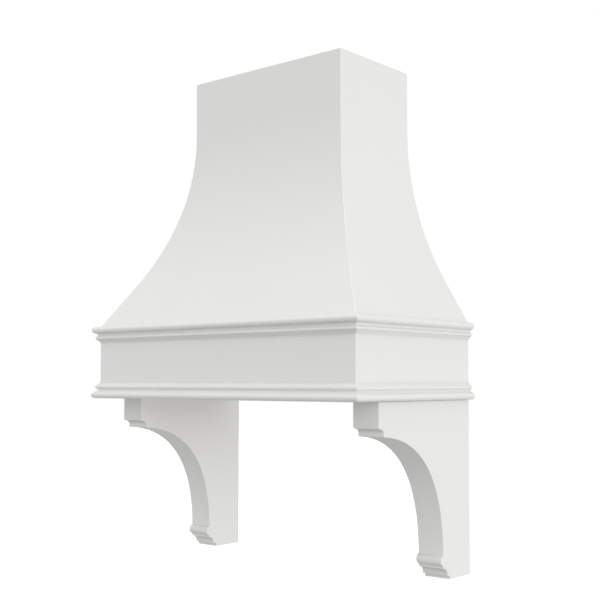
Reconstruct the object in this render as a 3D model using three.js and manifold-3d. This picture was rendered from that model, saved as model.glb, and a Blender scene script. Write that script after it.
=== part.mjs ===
// Wooden range hood cover: a flared body on an apron with two mouldings, carried by two corbels.
//
// Millimetres. X runs to the right, Y runs back to the wall and Z runs up. The wall is the plane
// Y = 0, and the origin is the middle of the wall cleat's back face. In the code a "height" is
// measured up from the hood's underside and a "depth" is measured out from the wall.
import * as THREE from 'three';
import { mergeVertices } from 'three/addons/utils/BufferGeometryUtils.js';
import Module from 'manifold-3d';

const wasm = await Module();
wasm.setup();

// Body
const topWidth = 533.4;
const topDepth = 304.8;
const hoodHeight = 914.4;
const flareOut = 190.5; // how far the front and each side spread from the top to the apron
const plumbHeight = 158.4; // upright part at the top
const footHeight = 114.3; // straight part at the foot of the bend
const skinThickness = 12.7;
const bendSteps = 20;

// Apron
const apronHeight = 203.2;
const apronThickness = 19.05;
const rebateDepth = 9.525; // let into the foot of the apron boards for the platform
const backThickness = 19.05;
const wallHoleRadius = 3.2;
const backHoleSpacing = 241.3;
const backHoleHeight = 111.1;

// Mouldings, as distances out from the apron's face and up from the broad end
const mouldingHeight = 46.5;
const mouldingOut = 19.05;
const noseRadius = 9.525;
const coveMouthOut = 9.1;
const coveOut = 6.8; // where the cove's hollow is pulled to
const coveUp = 21.0;
const rollFoot = 26.6;
const rollOut = 11.0;
const rollRadius = 5.6;
const rollTurn = THREE.MathUtils.degToRad(75); // past its tip, where the band starts
const bandOut = 2.8; // where the band ends
const bandTop = 43.1;
const quirkOut = 0.8;
const filletOut = 1.4;
const filletHeight = 2.0;
const curveSteps = 6;

// Platform for the insert
const platformThickness = 19.05;
const insertWidth = 723.9;
const insertDepth = 342.9;
const insertSetback = 69.85; // from the wall to the opening

// Inner frame
const ribWidth = 50.8;
const ribThickness = 19.05;
const sideRibDepth = 165.1; // from the wall to the middle of the side ribs
const frontRibSpacing = 254.0;
const shelfThickness = 12.7;
const shelfDrop = 123.8; // from the hanging rail's lower edge down to the shelf
const ductRadius = 106.0;
const ductDepth = 146.0; // from the wall to the middle of the duct
const baseThickness = 19.05;
const baseWidth = 57.15;
const topRailThickness = 19.05;
const topRailWidth = 38.1;
const upperBackHeight = 88.9;
const upperBackThickness = 19.05;
const apronBlockLeg = 44.45;
const bodyBlockLeg = 38.1;

// Hanging parts
const hangDrop = 228.6; // from the top down to the middle of the wall cleat's back
const cleatThickness = 19.05;
const wallCleatHeight = 44.45; // at the back, below the bevel
const hoodCleatHeight = 38.1; // at the back, above the bevel
const cleatInset = 3.0; // from the ends of the cleats to the ribs
const cleatHoleSpacing = 254.0;
const railHeight = 120.65;
const railThickness = 19.05;
const railDrop = 28.6; // from the middle of the wall cleat down to the rail's lower edge
const railInset = 2.0; // from the rail's ends to the side panels

// Corbels
const corbelWidth = 76.2;
const corbelDepth = 406.4;
const corbelDrop = 457.2;
const headHeight = 64.9;
const headCoveDepth = 20.2;
const headCoveHeight = 11.6;
const neckHeight = 8.5;
const legDepth = 129.2;
const beadHeight = 26.2;
const beadOut = 12.0; // from the leg's face out to the front of the bead
const footFilletHeight = 6.9;
const footCoveDepth = 19.05;
const footCoveHeight = 20.3;
const footStep = 9.6;
const footStepHeight = 9.5;
const archFlatShare = 0.731; // pulls of the arch's two ends, as shares of its depth and height
const archLegShare = 0.521;
const archDip = 10.3;
const archSteps = 18;

// Hanger plates in the corbels' backs
const hangerWidth = 31.75;
const hangerHeight = 57.15;
const hangerThickness = 2.0;
const hangerPocket = 12.0;
const keyRadius = 6.0;
const keySlotRadius = 2.8;
const keyDrop = 8.0; // from the plate's middle down to the round part of the keyhole
const keyRise = 12.0; // from the plate's middle up to the slot's end
const hangerScrewInset = 6.35; // from the plate's ends to its screws

// Screws
const shankRadius = 2.4;
const headRadius = 5.0;
const headThickness = 2.8;
const flatHeadRadius = 4.4;
const tipLength = 6.0;
const railScrewLength = 31.75;
const cleatScrewLength = 30.0;
const corbelScrewLength = 63.5;
const hangerScrewLength = 19.05;
const railScrewSpacing = 76.2;
const cleatScrewSpacing = 152.4;
const corbelScrewDepths = [88.9, 317.5];
const screwSides = 12;

const cutOver = 1; // how far a cut runs past the face that it opens

const joint = 0.3; // glue line or clearance between neighbours

const paintColour = 0xe7e6e3;
const plywoodColour = 0xd8bd90;
const poplarColour = 0xcdb98f;
const steelColour = 0xb4b8bc;

// Sizes that follow from the ones above
const halfTop = topWidth / 2;
const halfApron = halfTop + flareOut;
const apronDepth = topDepth + flareOut;
const mitreBack = joint / Math.SQRT2; // half a glue line, measured along a side
const bendHeight = hoodHeight - plumbHeight - footHeight - apronHeight;
const bendStart = hoodHeight - plumbHeight;
const footAngle = findFootAngle();
const bendRadius = bendHeight / Math.sin(footAngle);
const ribFoot = apronHeight + joint;
const ribTop = hoodHeight - topRailThickness - joint;
const ribInset = skinThickness + joint;
const ribInnerInset = ribInset + ribWidth;
const apronInner = halfApron - apronThickness - joint; // half the clear width inside the apron
const apronInnerDepth = apronDepth - apronThickness - joint;
const platformEdge = apronThickness - rebateDepth + joint;
const cleatHalf = halfTop - ribInnerInset - cleatInset;
const cleatMiddle = hoodHeight - hangDrop;
const bevelHeight = cleatMiddle + wallCleatHeight / 2; // where the bevel starts at the wall
const railFoot = cleatMiddle - railDrop;
const shelfHeight = railFoot - shelfDrop - shelfThickness; // underside of the shelf
const railBack = cleatThickness + joint;
const railScrewX = halfTop - ribInset - ribWidth / 2;
const railScrewMiddle = railFoot + railHeight / 2;
const corbelMiddle = halfApron - corbelWidth / 2;

function pieceMaterial(color, roughness, metalness) {
  return new THREE.MeshStandardMaterial({ color, roughness, metalness });
}

const paint = () => pieceMaterial(paintColour, 0.42, 0);
const plywood = () => pieceMaterial(plywoodColour, 0.75, 0);
const poplar = () => pieceMaterial(poplarColour, 0.7, 0);
const steel = () => pieceMaterial(steelColour, 0.35, 0.9);

function point(x, y) {
  return new THREE.Vector2(x, y);
}

// The foot's slope makes a round bend and a straight foot add up to the whole spread.
function findFootAngle() {
  let low = 0;
  let high = Math.PI / 2;
  for (let i = 0; i < 60; i += 1) {
    const angle = (low + high) / 2;
    const spread = bendHeight * Math.tan(angle / 2) + footHeight * Math.tan(angle);
    if (spread < flareOut) {
      low = angle;
    } else {
      high = angle;
    }
  }
  return (low + high) / 2;
}

// How far a line inside the skin stands out from the top's outer face at a height.
function spreadAt(inset, height) {
  const drop = bendStart - height;
  const radius = bendRadius + inset;
  if (drop <= 0) {
    return -inset;
  }
  const bendDrop = radius * Math.sin(footAngle);
  if (drop < bendDrop) {
    return bendRadius - Math.sqrt(radius ** 2 - drop ** 2);
  }
  return bendRadius - radius * Math.cos(footAngle) + (drop - bendDrop) * Math.tan(footAngle);
}

// That line from one height down to another, as points of spread and height.
function flareLine(inset, top, foot) {
  const points = [point(-inset, top)];
  const radius = bendRadius + inset;
  for (let i = 0; i <= bendSteps; i += 1) {
    const height = bendStart - radius * Math.sin((footAngle * i) / bendSteps);
    points.push(point(spreadAt(inset, height), height));
  }
  points.push(point(spreadAt(inset, foot), foot));
  return points;
}

// The section between two such lines, with the spread measured from a given place.
function flareSection(outerInset, innerInset, top, foot, start) {
  const outer = flareLine(outerInset, top, foot);
  const inner = flareLine(innerInset, top, foot).reverse();
  return [...outer, ...inner].map((p) => point(start + p.x, p.y));
}

function rectangle(x0, x1, y0, y1) {
  return [point(x0, y0), point(x1, y0), point(x1, y1), point(x0, y1)];
}

function extrude(outline, depth, holes = []) {
  const shape = new THREE.Shape(outline);
  shape.holes = holes.map((hole) => new THREE.Path(hole));
  return new THREE.ExtrudeGeometry(shape, { depth, bevelEnabled: false, steps: 1 });
}

// Each vertex (x, y, z) goes to the place that the function gives.
function reshape(geometry, place) {
  const positions = geometry.attributes.position;
  for (let i = 0; i < positions.count; i += 1) {
    positions.setXYZ(i, ...place(positions.getX(i), positions.getY(i), positions.getZ(i)));
  }
  geometry.computeVertexNormals();
  return geometry;
}

const hipX = (depth) => halfTop + depth - topDepth - mitreBack;
const hipDepth = (x) => topDepth + x - halfTop - mitreBack;

// A length across the front: its section is depth and height, its ends lie in the hip planes.
function frontLength(section) {
  return reshape(extrude(section, 1), (depth, height, end) => [
    (end > 0.5 ? -1 : 1) * hipX(depth),
    -depth,
    height,
  ]);
}

// A length along one side, from the wall to the hip plane: its section is x and height.
function sideLength(section, side) {
  return reshape(extrude(section, 1), (x, height, end) => {
    const atHip = side > 0 ? end > 0.5 : end < 0.5;
    return [side * x, atHip ? -hipDepth(x) : 0, height];
  });
}

// A board whose face is parallel to the wall: its outline is x and height.
function wallBoard(outline, depth, thickness) {
  return reshape(extrude(outline, thickness), (x, height, z) => [x, -depth - z, height]);
}

// A board whose face is parallel to the sides: its outline is depth and height.
function sideBoard(outline, x, thickness) {
  return reshape(extrude(outline, thickness), (depth, height, z) => [x - z, -depth, height]);
}

// A level board: its outline is x and depth.
function levelBoard(outline, height, thickness, holes = []) {
  return reshape(extrude(outline, thickness, holes), (x, depth, z) => [x, -depth, height - z]);
}

function block(x0, x1, depth0, depth1, height0, height1) {
  return levelBoard(rectangle(x0, x1, depth0, depth1), height1, height1 - height0);
}

function toSolid(geometry) {
  const bare = geometry.clone();
  bare.deleteAttribute('normal');
  bare.deleteAttribute('uv');
  const merged = mergeVertices(bare);
  return new wasm.Manifold(new wasm.Mesh({
    numProp: 3,
    vertProperties: merged.attributes.position.array,
    triVerts: new Uint32Array(merged.index.array),
  }));
}

function toGeometry(solid) {
  const mesh = solid.getMesh();
  const geometry = new THREE.BufferGeometry();
  geometry.setAttribute('position', new THREE.BufferAttribute(mesh.vertProperties, 3));
  geometry.setIndex(new THREE.BufferAttribute(mesh.triVerts, 1));
  const flat = geometry.toNonIndexed();
  flat.computeVertexNormals();
  return flat;
}

function cutAway(geometry, cutters) {
  const rest = cutters.reduce((solid, cutter) => solid.subtract(toSolid(cutter)), toSolid(geometry));
  return toGeometry(rest);
}

function turnTo(direction) {
  return new THREE.Quaternion().setFromUnitVectors(new THREE.Vector3(0, -1, 0), direction);
}

// A cutter drawn down the y axis, set at a place and turned along a direction
function aim(cutter, start, direction) {
  cutter.applyQuaternion(turnTo(direction));
  cutter.translate(start.x, start.y, start.z);
  return cutter;
}

// A round hole from a place inwards along a direction, started a little outside the surface.
function hole(start, direction, radius, length) {
  const drill = new THREE.CylinderGeometry(radius, radius, length + cutOver, screwSides);
  drill.translate(0, (cutOver - length) / 2, 0);
  return aim(drill, start, direction);
}

const screwHole = (screw) => hole(
  screw.at,
  screw.direction,
  shankRadius + joint,
  screw.length + joint,
);

// A screw with its head's underside at y = 0 and its tip down the y axis.
function screwGeometry(length) {
  return new THREE.LatheGeometry([
    point(0, -length),
    point(shankRadius, tipLength - length),
    point(shankRadius, 0),
    point(headRadius, 0),
    point(headRadius, headThickness / 2),
    point(headRadius * 0.7, headThickness),
    point(0, headThickness),
  ], screwSides);
}

// A countersunk screw with its head's flat top at y = 0, as thick as the plate that it holds.
function flatScrewGeometry(length) {
  return new THREE.LatheGeometry([
    point(0, -length),
    point(shankRadius, tipLength - length),
    point(shankRadius, -hangerThickness),
    point(flatHeadRadius, 0),
    point(0, 0),
  ], screwSides);
}

// The cone that such a head sits in, run past both faces of the plate
function countersink(screw) {
  const slope = (flatHeadRadius - shankRadius) / hangerThickness;
  const height = hangerThickness + 2 * cutOver;
  const wide = flatHeadRadius + joint + cutOver * slope;
  const cone = new THREE.CylinderGeometry(wide, wide - height * slope, height, screwSides);
  cone.translate(0, cutOver - height / 2, 0);
  return aim(cone, screw.at, screw.direction);
}

function at(x, depth, height) {
  return new THREE.Vector3(x, -depth, height);
}

const towardsWall = new THREE.Vector3(0, 1, 0);
const fromWall = new THREE.Vector3(0, -1, 0);
const down = new THREE.Vector3(0, 0, -1);
const sides = [{ side: -1, word: 'left' }, { side: 1, word: 'right' }];

// Screws stand off the surface they press on by one glue line.
function railScrews(side) {
  return [-1, 1].map((step) => ({
    name: `rail_screw_${side < 0 ? 'left' : 'right'}_${step < 0 ? 'lower' : 'upper'}`,
    at: at(
      side * railScrewX,
      railBack + railThickness + joint,
      railScrewMiddle + (step * railScrewSpacing) / 2,
    ),
    direction: towardsWall,
    length: railScrewLength,
  }));
}

function cleatScrews() {
  return [-1, 0, 1].map((step) => ({
    name: `cleat_screw_${step + 2}`,
    at: at(
      step * cleatScrewSpacing,
      railBack + railThickness + joint,
      bevelHeight + cleatThickness + hoodCleatHeight / 2,
    ),
    direction: towardsWall,
    length: cleatScrewLength,
  }));
}

function corbelScrews(side) {
  return corbelScrewDepths.map((depth, index) => ({
    name: `corbel_screw_${side < 0 ? 'left' : 'right'}_${index === 0 ? 'back' : 'front'}`,
    at: at(side * corbelMiddle, depth, platformThickness + joint),
    direction: down,
    length: corbelScrewLength,
  }));
}

function hangerScrews(side) {
  const reach = hangerHeight / 2 - hangerScrewInset;
  return [-1, 1].map((step) => ({
    name: `hanger_screw_${side < 0 ? 'left' : 'right'}_${step < 0 ? 'lower' : 'upper'}`,
    at: at(side * corbelMiddle, joint, step * reach - corbelDrop / 2),
    direction: fromWall,
    length: hangerScrewLength,
  }));
}

const cover = new THREE.Group();
cover.position.z = -cleatMiddle;

function addPiece(name, geometry, material) {
  const mesh = new THREE.Mesh(geometry, material);
  mesh.name = name;
  cover.add(mesh);
  return mesh;
}

function addScrews(screws, shape = screwGeometry) {
  for (const screw of screws) {
    const mesh = addPiece(screw.name, shape(screw.length), steel());
    mesh.position.copy(screw.at);
    mesh.quaternion.copy(turnTo(screw.direction));
  }
}

// Bent panels of the body, mitred where they meet
function addBody() {
  const foot = apronHeight + joint;
  const front = flareSection(0, skinThickness, hoodHeight, foot, topDepth);
  addPiece('front_panel', frontLength(front), paint());
  const section = flareSection(0, skinThickness, hoodHeight, foot, halfTop);
  for (const { side, word } of sides) {
    addPiece(`side_panel_${word}`, sideLength(section, side), paint());
  }
}

// An apron board's section out to a given face, with the rebate at its foot
function apronSection(face) {
  const rebateTop = platformThickness + joint;
  return [
    point(face, 0),
    point(face, apronHeight),
    point(face - apronThickness, apronHeight),
    point(face - apronThickness, rebateTop),
    point(face - apronThickness + rebateDepth, rebateTop),
    point(face - apronThickness + rebateDepth, 0),
  ];
}

function addApron() {
  addPiece('apron_front', frontLength(apronSection(apronDepth)), paint());
  for (const { side, word } of sides) {
    addPiece(`apron_${word}`, sideLength(apronSection(halfApron), side), paint());
  }
  const foot = platformThickness + joint;
  const back = rectangle(-apronInner, apronInner, foot, apronHeight);
  const holes = [-1.5, -0.5, 0.5, 1.5].map((step) => hole(
    at(step * backHoleSpacing, backThickness, backHoleHeight),
    towardsWall,
    wallHoleRadius,
    backThickness + cutOver,
  ));
  addPiece('apron_back', cutAway(wallBoard(back, 0, backThickness), holes), plywood());
}

// Nose, cove, roll, sloping band, quirk and fillet, as distances out and up
function mouldingOutline() {
  const path = new THREE.Path();
  const quarter = Math.PI / 2;
  const rollMiddle = rollOut - rollRadius;
  const quirkTop = mouldingHeight - filletHeight;
  path.moveTo(joint, 0);
  path.lineTo(mouldingOut - noseRadius, 0);
  path.absarc(mouldingOut - noseRadius, noseRadius, noseRadius, -quarter, quarter, false);
  path.lineTo(coveMouthOut, 2 * noseRadius);
  path.quadraticCurveTo(coveOut, coveUp, rollMiddle, rollFoot);
  path.absarc(rollMiddle, rollFoot + rollRadius, rollRadius, -quarter, rollTurn, false);
  path.lineTo(bandOut, bandTop);
  path.lineTo(quirkOut, bandTop);
  path.lineTo(quirkOut, quirkTop);
  path.lineTo(filletOut, quirkTop);
  path.lineTo(filletOut, mouldingHeight);
  path.lineTo(joint, mouldingHeight);
  return path.getPoints(curveSteps);
}

function addMouldings() {
  const kinds = [
    { word: 'lower_moulding', height: (up) => up },
    { word: 'crown_moulding', height: (up) => apronHeight - up },
  ];
  for (const kind of kinds) {
    const section = (face) => mouldingOutline().map((p) => point(face + p.x, kind.height(p.y)));
    addPiece(`${kind.word}_front`, frontLength(section(apronDepth)), paint());
    for (const { side, word } of sides) {
      addPiece(`${kind.word}_${word}`, sideLength(section(halfApron), side), paint());
    }
  }
}

// The platform that carries the insert, in the apron's rebate
function addPlatform() {
  const halfWidth = halfApron - platformEdge;
  const outline = rectangle(-halfWidth, halfWidth, 0, apronDepth - platformEdge);
  const opening = rectangle(
    -insertWidth / 2,
    insertWidth / 2,
    insertSetback,
    insertSetback + insertDepth,
  );
  const board = levelBoard(outline, platformThickness, platformThickness, [opening]);
  const screws = [...corbelScrews(-1), ...corbelScrews(1)];
  addPiece('platform', cutAway(board, screws.map((screw) => screwHole(screw))), plywood());
}

function addBaseFrame() {
  const foot = apronHeight - baseThickness;
  const back = backThickness + joint;
  for (const { side, word } of sides) {
    const x = [side * apronInner, side * (apronInner - baseWidth)].sort((a, b) => a - b);
    const rail = block(x[0], x[1], back, apronInnerDepth, foot, apronHeight);
    addPiece(`base_rail_${word}`, rail, plywood());
  }
  const half = apronInner - baseWidth - joint;
  const front = block(-half, half, apronInnerDepth - baseWidth, apronInnerDepth, foot, apronHeight);
  addPiece('base_rail_front', front, plywood());
}

function addTopFrame() {
  const foot = hoodHeight - topRailThickness;
  const outerX = halfTop - ribInset;
  const outerDepth = topDepth - ribInset;
  for (const { side, word } of sides) {
    const x = [side * outerX, side * (outerX - topRailWidth)].sort((a, b) => a - b);
    const rail = block(x[0], x[1], topRailWidth + joint, outerDepth, foot, hoodHeight);
    addPiece(`top_rail_${word}`, rail, plywood());
  }
  const half = outerX - topRailWidth - joint;
  const front = block(-half, half, outerDepth - topRailWidth, outerDepth, foot, hoodHeight);
  addPiece('top_rail_front', front, plywood());
  addPiece('top_rail_back', block(-outerX, outerX, 0, topRailWidth, foot, hoodHeight), plywood());
  const halfBack = halfTop - ribInnerInset - joint;
  const upper = block(
    -halfBack,
    halfBack,
    0,
    upperBackThickness,
    ribTop - upperBackHeight,
    ribTop,
  );
  addPiece('upper_back_rail', upper, plywood());
}

// Where rib and shelf meet in their halving, measured from the top's outer face
function lapSpread() {
  const height = shelfHeight + shelfThickness / 2;
  return (spreadAt(ribInset, height) + spreadAt(ribInnerInset, height)) / 2;
}

const ribBand = [shelfHeight - joint, shelfHeight + shelfThickness + joint];

// Ribs parallel to the wall, behind the side panels
function crossRib(side, depth, screws) {
  const section = flareSection(ribInset, ribInnerInset, ribTop, ribFoot, halfTop);
  const outline = section.map((p) => point(side * p.x, p.y));
  const lap = halfTop + lapSpread() + joint / 2;
  const x = [0, side * lap].sort((a, b) => a - b);
  const near = depth - cutOver;
  const far = depth + ribThickness + cutOver;
  const notch = block(x[0], x[1], near, far, ribBand[0], ribBand[1]);
  const holes = screws.map((screw) => screwHole(screw));
  return cutAway(wallBoard(outline, depth, ribThickness), [notch, ...holes]);
}

// Ribs parallel to the sides, behind the front panel
function lengthRib(side) {
  const outline = flareSection(ribInset, ribInnerInset, ribTop, ribFoot, topDepth);
  const x = (side * frontRibSpacing) / 2 + ribThickness / 2;
  const lap = topDepth + lapSpread() + joint / 2;
  const left = x - ribThickness - cutOver;
  const notch = block(left, x + cutOver, 0, lap, ribBand[0], ribBand[1]);
  return cutAway(sideBoard(outline, x, ribThickness), [notch]);
}

function addRibs() {
  for (const { side, word } of sides) {
    addPiece(`back_rib_${word}`, crossRib(side, 0, railScrews(side)), plywood());
    const middle = crossRib(side, sideRibDepth - ribThickness / 2, []);
    addPiece(`side_rib_${word}`, middle, plywood());
    addPiece(`front_rib_${word}`, lengthRib(side), plywood());
  }
}

function circle(x, y, radius, steps) {
  return new THREE.Path().absarc(x, y, radius, 0, Math.PI * 2, false).getPoints(steps / 2);
}

// The shelf ties the ribs together and is halved over each of them
function addShelf() {
  const edge = spreadAt(ribInset, shelfHeight + shelfThickness);
  const halfWidth = halfTop + edge;
  const depth = topDepth + edge;
  const duct = circle(0, ductDepth, ductRadius, 48).slice(0, -1);
  const outline = rectangle(-halfWidth, halfWidth, 0, depth);
  const board = levelBoard(outline, shelfHeight + shelfThickness, shelfThickness, [duct]);
  const low = shelfHeight - cutOver;
  const high = shelfHeight + shelfThickness + cutOver;
  const lapX = halfTop + lapSpread() - joint / 2;
  const lapDepth = topDepth + lapSpread() - joint / 2;
  const halfRib = ribThickness / 2 + joint;
  const notches = [];
  for (const { side } of sides) {
    const x = [side * lapX, side * (halfWidth + cutOver)].sort((a, b) => a - b);
    notches.push(block(x[0], x[1], -cutOver, ribThickness + joint, low, high));
    notches.push(block(x[0], x[1], sideRibDepth - halfRib, sideRibDepth + halfRib, low, high));
    const middle = (side * frontRibSpacing) / 2;
    notches.push(block(middle - halfRib, middle + halfRib, lapDepth, depth + cutOver, low, high));
  }
  addPiece('duct_shelf', cutAway(board, notches), plywood());
}

// Three-cornered glue blocks in the front corners
function cornerBlock(side, cornerX, cornerDepth, leg, foot, top) {
  const x = cornerX - joint;
  const depth = cornerDepth - joint;
  const outline = [point(side * x, depth), point(side * (x - leg), depth), point(side * x, depth - leg)];
  return levelBoard(outline, top, top - foot);
}

function addBlocks() {
  const apronFoot = platformThickness + joint;
  const apronTop = apronHeight - baseThickness - joint;
  const innerX = halfTop - ribInset;
  const innerDepth = topDepth - ribInset;
  for (const { side, word } of sides) {
    const low = cornerBlock(side, apronInner, apronInnerDepth, apronBlockLeg, apronFoot, apronTop);
    addPiece(`apron_block_${word}`, low, poplar());
    const high = cornerBlock(side, innerX, innerDepth, bodyBlockLeg, bendStart, ribTop);
    addPiece(`body_block_${word}`, high, poplar());
  }
}

// The bevelled pair that the cover hangs on, and the rail behind the hood's half
function addHanging() {
  const foot = cleatMiddle - wallCleatHeight / 2;
  const wallCleat = sideBoard([
    point(0, foot),
    point(cleatThickness, foot),
    point(cleatThickness, bevelHeight + cleatThickness),
    point(0, bevelHeight),
  ], cleatHalf, 2 * cleatHalf);
  const wallHoles = [-1, 1].map((side) => hole(
    at((side * cleatHoleSpacing) / 2, cleatThickness, cleatMiddle),
    towardsWall,
    wallHoleRadius,
    cleatThickness + cutOver,
  ));
  addPiece('wall_cleat', cutAway(wallCleat, wallHoles), poplar());

  const gap = joint * Math.SQRT2;
  const top = bevelHeight + cleatThickness + hoodCleatHeight;
  const hoodCleat = sideBoard([
    point(0, bevelHeight + gap),
    point(cleatThickness, bevelHeight + cleatThickness + gap),
    point(cleatThickness, top),
    point(0, top),
  ], cleatHalf, 2 * cleatHalf);
  const screws = cleatScrews();
  addPiece('hood_cleat', cutAway(hoodCleat, screws.map((screw) => screwHole(screw))), poplar());
  addScrews(screws);

  const half = halfTop - skinThickness - railInset;
  const rail = block(
    -half,
    half,
    railBack,
    railBack + railThickness,
    railFoot,
    railFoot + railHeight,
  );
  const ribScrews = [...railScrews(-1), ...railScrews(1)];
  const holes = [...screws, ...ribScrews].map((screw) => screwHole(screw));
  addPiece('hanging_rail', cutAway(rail, holes), poplar());
  addScrews(ribScrews);
}

// A corbel's side view as depth and height below the hood's underside
function corbelOutline() {
  const path = new THREE.Path();
  const neckDepth = corbelDepth - headCoveDepth;
  const neckTop = -headHeight - headCoveHeight;
  const archTop = neckTop - neckHeight;
  const footTop = -corbelDrop + footStepHeight;
  const coveTop = footTop + footCoveHeight;
  const beadFoot = coveTop + footFilletHeight;
  const beadTop = beadFoot + beadHeight;
  const footDepth = legDepth - footCoveDepth - footStep;
  path.moveTo(0, -joint);
  path.lineTo(corbelDepth, -joint);
  path.lineTo(corbelDepth, -headHeight);
  path.absellipse(
    corbelDepth, neckTop, headCoveDepth, headCoveHeight, Math.PI / 2, Math.PI, false, 0,
  );
  path.lineTo(neckDepth, archTop);
  const points = path.getPoints(curveSteps);
  const arch = new THREE.CubicBezierCurve(
    point(neckDepth, archTop),
    point(neckDepth - (neckDepth - legDepth) * archFlatShare, archTop - archDip),
    point(legDepth, beadTop + (archTop - beadTop) * archLegShare),
    point(legDepth, beadTop),
  );
  points.push(...arch.getPoints(archSteps).slice(1));
  const foot = new THREE.Path();
  foot.absellipse(
    legDepth, beadFoot + beadHeight / 2, beadOut, beadHeight / 2, Math.PI / 2, -Math.PI / 2, true, 0,
  );
  foot.lineTo(legDepth, coveTop);
  foot.absellipse(
    legDepth, footTop, footCoveDepth, footCoveHeight, Math.PI / 2, Math.PI, false, 0,
  );
  foot.lineTo(footDepth, footTop);
  foot.lineTo(footDepth, -corbelDrop);
  foot.lineTo(0, -corbelDrop);
  points.push(...foot.getPoints(curveSteps).slice(1));
  return points;
}

// A keyhole: a round lower part and a slot up from it
function keyhole(x, height) {
  const path = new THREE.Path();
  const corner = Math.acos(keySlotRadius / keyRadius);
  path.absarc(x, height + keyRise, keySlotRadius, 0, Math.PI, false);
  path.absarc(x, height - keyDrop, keyRadius, Math.PI - corner, corner, false);
  return path.getPoints(curveSteps);
}

function addCorbels() {
  const middle = -corbelDrop / 2;
  for (const { side, word } of sides) {
    const x = side * corbelMiddle;
    const screws = corbelScrews(side);
    const plateScrews = hangerScrews(side);
    const plateHoles = plateScrews.map((screw) => screwHole(screw));
    const recess = block(
      x - hangerWidth / 2 - joint,
      x + hangerWidth / 2 + joint,
      -cutOver,
      hangerThickness + 2 * joint,
      middle - hangerHeight / 2 - joint,
      middle + hangerHeight / 2 + joint,
    );
    const pocket = block(
      x - keyRadius - joint,
      x + keyRadius + joint,
      -cutOver,
      hangerPocket,
      middle - keyDrop - keyRadius,
      middle + keyRise + keyRadius,
    );
    const body = sideBoard(corbelOutline(), x + corbelWidth / 2, corbelWidth);
    const holes = screws.map((screw) => screwHole(screw));
    addPiece(`corbel_${word}`, cutAway(body, [recess, pocket, ...holes, ...plateHoles]), paint());
    addScrews(screws);

    const plate = rectangle(
      x - hangerWidth / 2,
      x + hangerWidth / 2,
      middle - hangerHeight / 2,
      middle + hangerHeight / 2,
    );
    const sheet = extrude(plate, hangerThickness, [keyhole(x, middle)]);
    const standing = reshape(sheet, (px, height, z) => [px, -joint - z, height]);
    const cones = plateScrews.map((screw) => countersink(screw));
    addPiece(`hanger_plate_${word}`, cutAway(standing, [...plateHoles, ...cones]), steel());
    addScrews(plateScrews, flatScrewGeometry);
  }
}

addBody();
addApron();
addMouldings();
addPlatform();
addBaseFrame();
addTopFrame();
addRibs();
addShelf();
addBlocks();
addHanging();
addCorbels();

export default cover;
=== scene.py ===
import math

import bmesh
import bpy
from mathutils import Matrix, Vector


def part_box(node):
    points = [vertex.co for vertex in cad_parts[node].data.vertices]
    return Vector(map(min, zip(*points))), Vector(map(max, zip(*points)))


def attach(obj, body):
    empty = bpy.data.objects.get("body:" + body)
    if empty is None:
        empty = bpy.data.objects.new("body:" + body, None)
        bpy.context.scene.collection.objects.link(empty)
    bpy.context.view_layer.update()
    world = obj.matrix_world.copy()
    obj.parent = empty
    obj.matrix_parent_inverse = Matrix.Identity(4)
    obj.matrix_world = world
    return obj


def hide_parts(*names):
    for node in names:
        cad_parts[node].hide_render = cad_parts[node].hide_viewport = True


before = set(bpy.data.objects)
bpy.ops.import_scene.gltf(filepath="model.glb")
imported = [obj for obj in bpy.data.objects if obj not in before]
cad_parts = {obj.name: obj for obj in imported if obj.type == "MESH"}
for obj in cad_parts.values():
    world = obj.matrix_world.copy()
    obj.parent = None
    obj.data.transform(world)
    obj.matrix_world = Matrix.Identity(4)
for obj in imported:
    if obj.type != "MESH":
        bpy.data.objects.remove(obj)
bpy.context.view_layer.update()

# Wooden range hood cover. Sizes are in millimetres unless a note says otherwise: x runs to the
# right, depth runs out from the wall and height runs up from the hood's underside. place() turns
# them into the frame's metres.
mm = 0.001
fullTurn = 2 * math.pi
quarterTurn = math.pi / 2
eighthTurn = math.pi / 4
sides = [(-1, "left"), (1, "right")]

hood = {
    "hangHeight": 685.8,  # from the underside up to the frame's origin
    "topWidth": 533.4,
    "topDepth": 304.8,
    "height": 914.4,
    "flareOut": 190.5,
    "plumbHeight": 158.4,  # the upright part at the top
    "footHeight": 114.3,  # the straight slope at the foot of the flare
    "apronHeight": 203.2,
    "hipRadius": 1.3,  # the eased upright corners
    "hipSteps": 4,
    "frontLengths": 12,  # how many lengths a run's mesh is divided into
    "sideLengths": 8,
}

halfTop = hood["topWidth"] / 2
halfApron = halfTop + hood["flareOut"]
apronDepth = hood["topDepth"] + hood["flareOut"]
bendStart = hood["height"] - hood["plumbHeight"]
bendHeight = bendStart - hood["footHeight"] - hood["apronHeight"]

creaseAngle = math.radians(32)  # mesh edges that turn more are shaded as creases
onWall = 0.01  # faces nearer the wall than this lie against it
paintShare = 0.9  # how much of an eased edge the paint covers


def place(x, depth, height):
    return Vector((x, -depth, height - hood["hangHeight"])) * mm


def measure(point):
    # The other way round, for a point of a mesh
    x, y, z = point / mm
    return x, -y, z + hood["hangHeight"]


class Wire:
    # A socket that can be added, multiplied and so on like a number
    def __init__(self, sheet, socket):
        self.sheet = sheet
        self.socket = socket

    def __add__(self, other):
        return self.sheet.maths("ADD", self, other)

    def __radd__(self, other):
        return self.sheet.maths("ADD", other, self)

    def __sub__(self, other):
        return self.sheet.maths("SUBTRACT", self, other)

    def __rsub__(self, other):
        return self.sheet.maths("SUBTRACT", other, self)

    def __mul__(self, other):
        return self.sheet.maths("MULTIPLY", self, other)

    def __rmul__(self, other):
        return self.sheet.maths("MULTIPLY", other, self)

    def __truediv__(self, other):
        return self.sheet.maths("DIVIDE", self, other)

    def __rtruediv__(self, other):
        return self.sheet.maths("DIVIDE", other, self)


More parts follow.
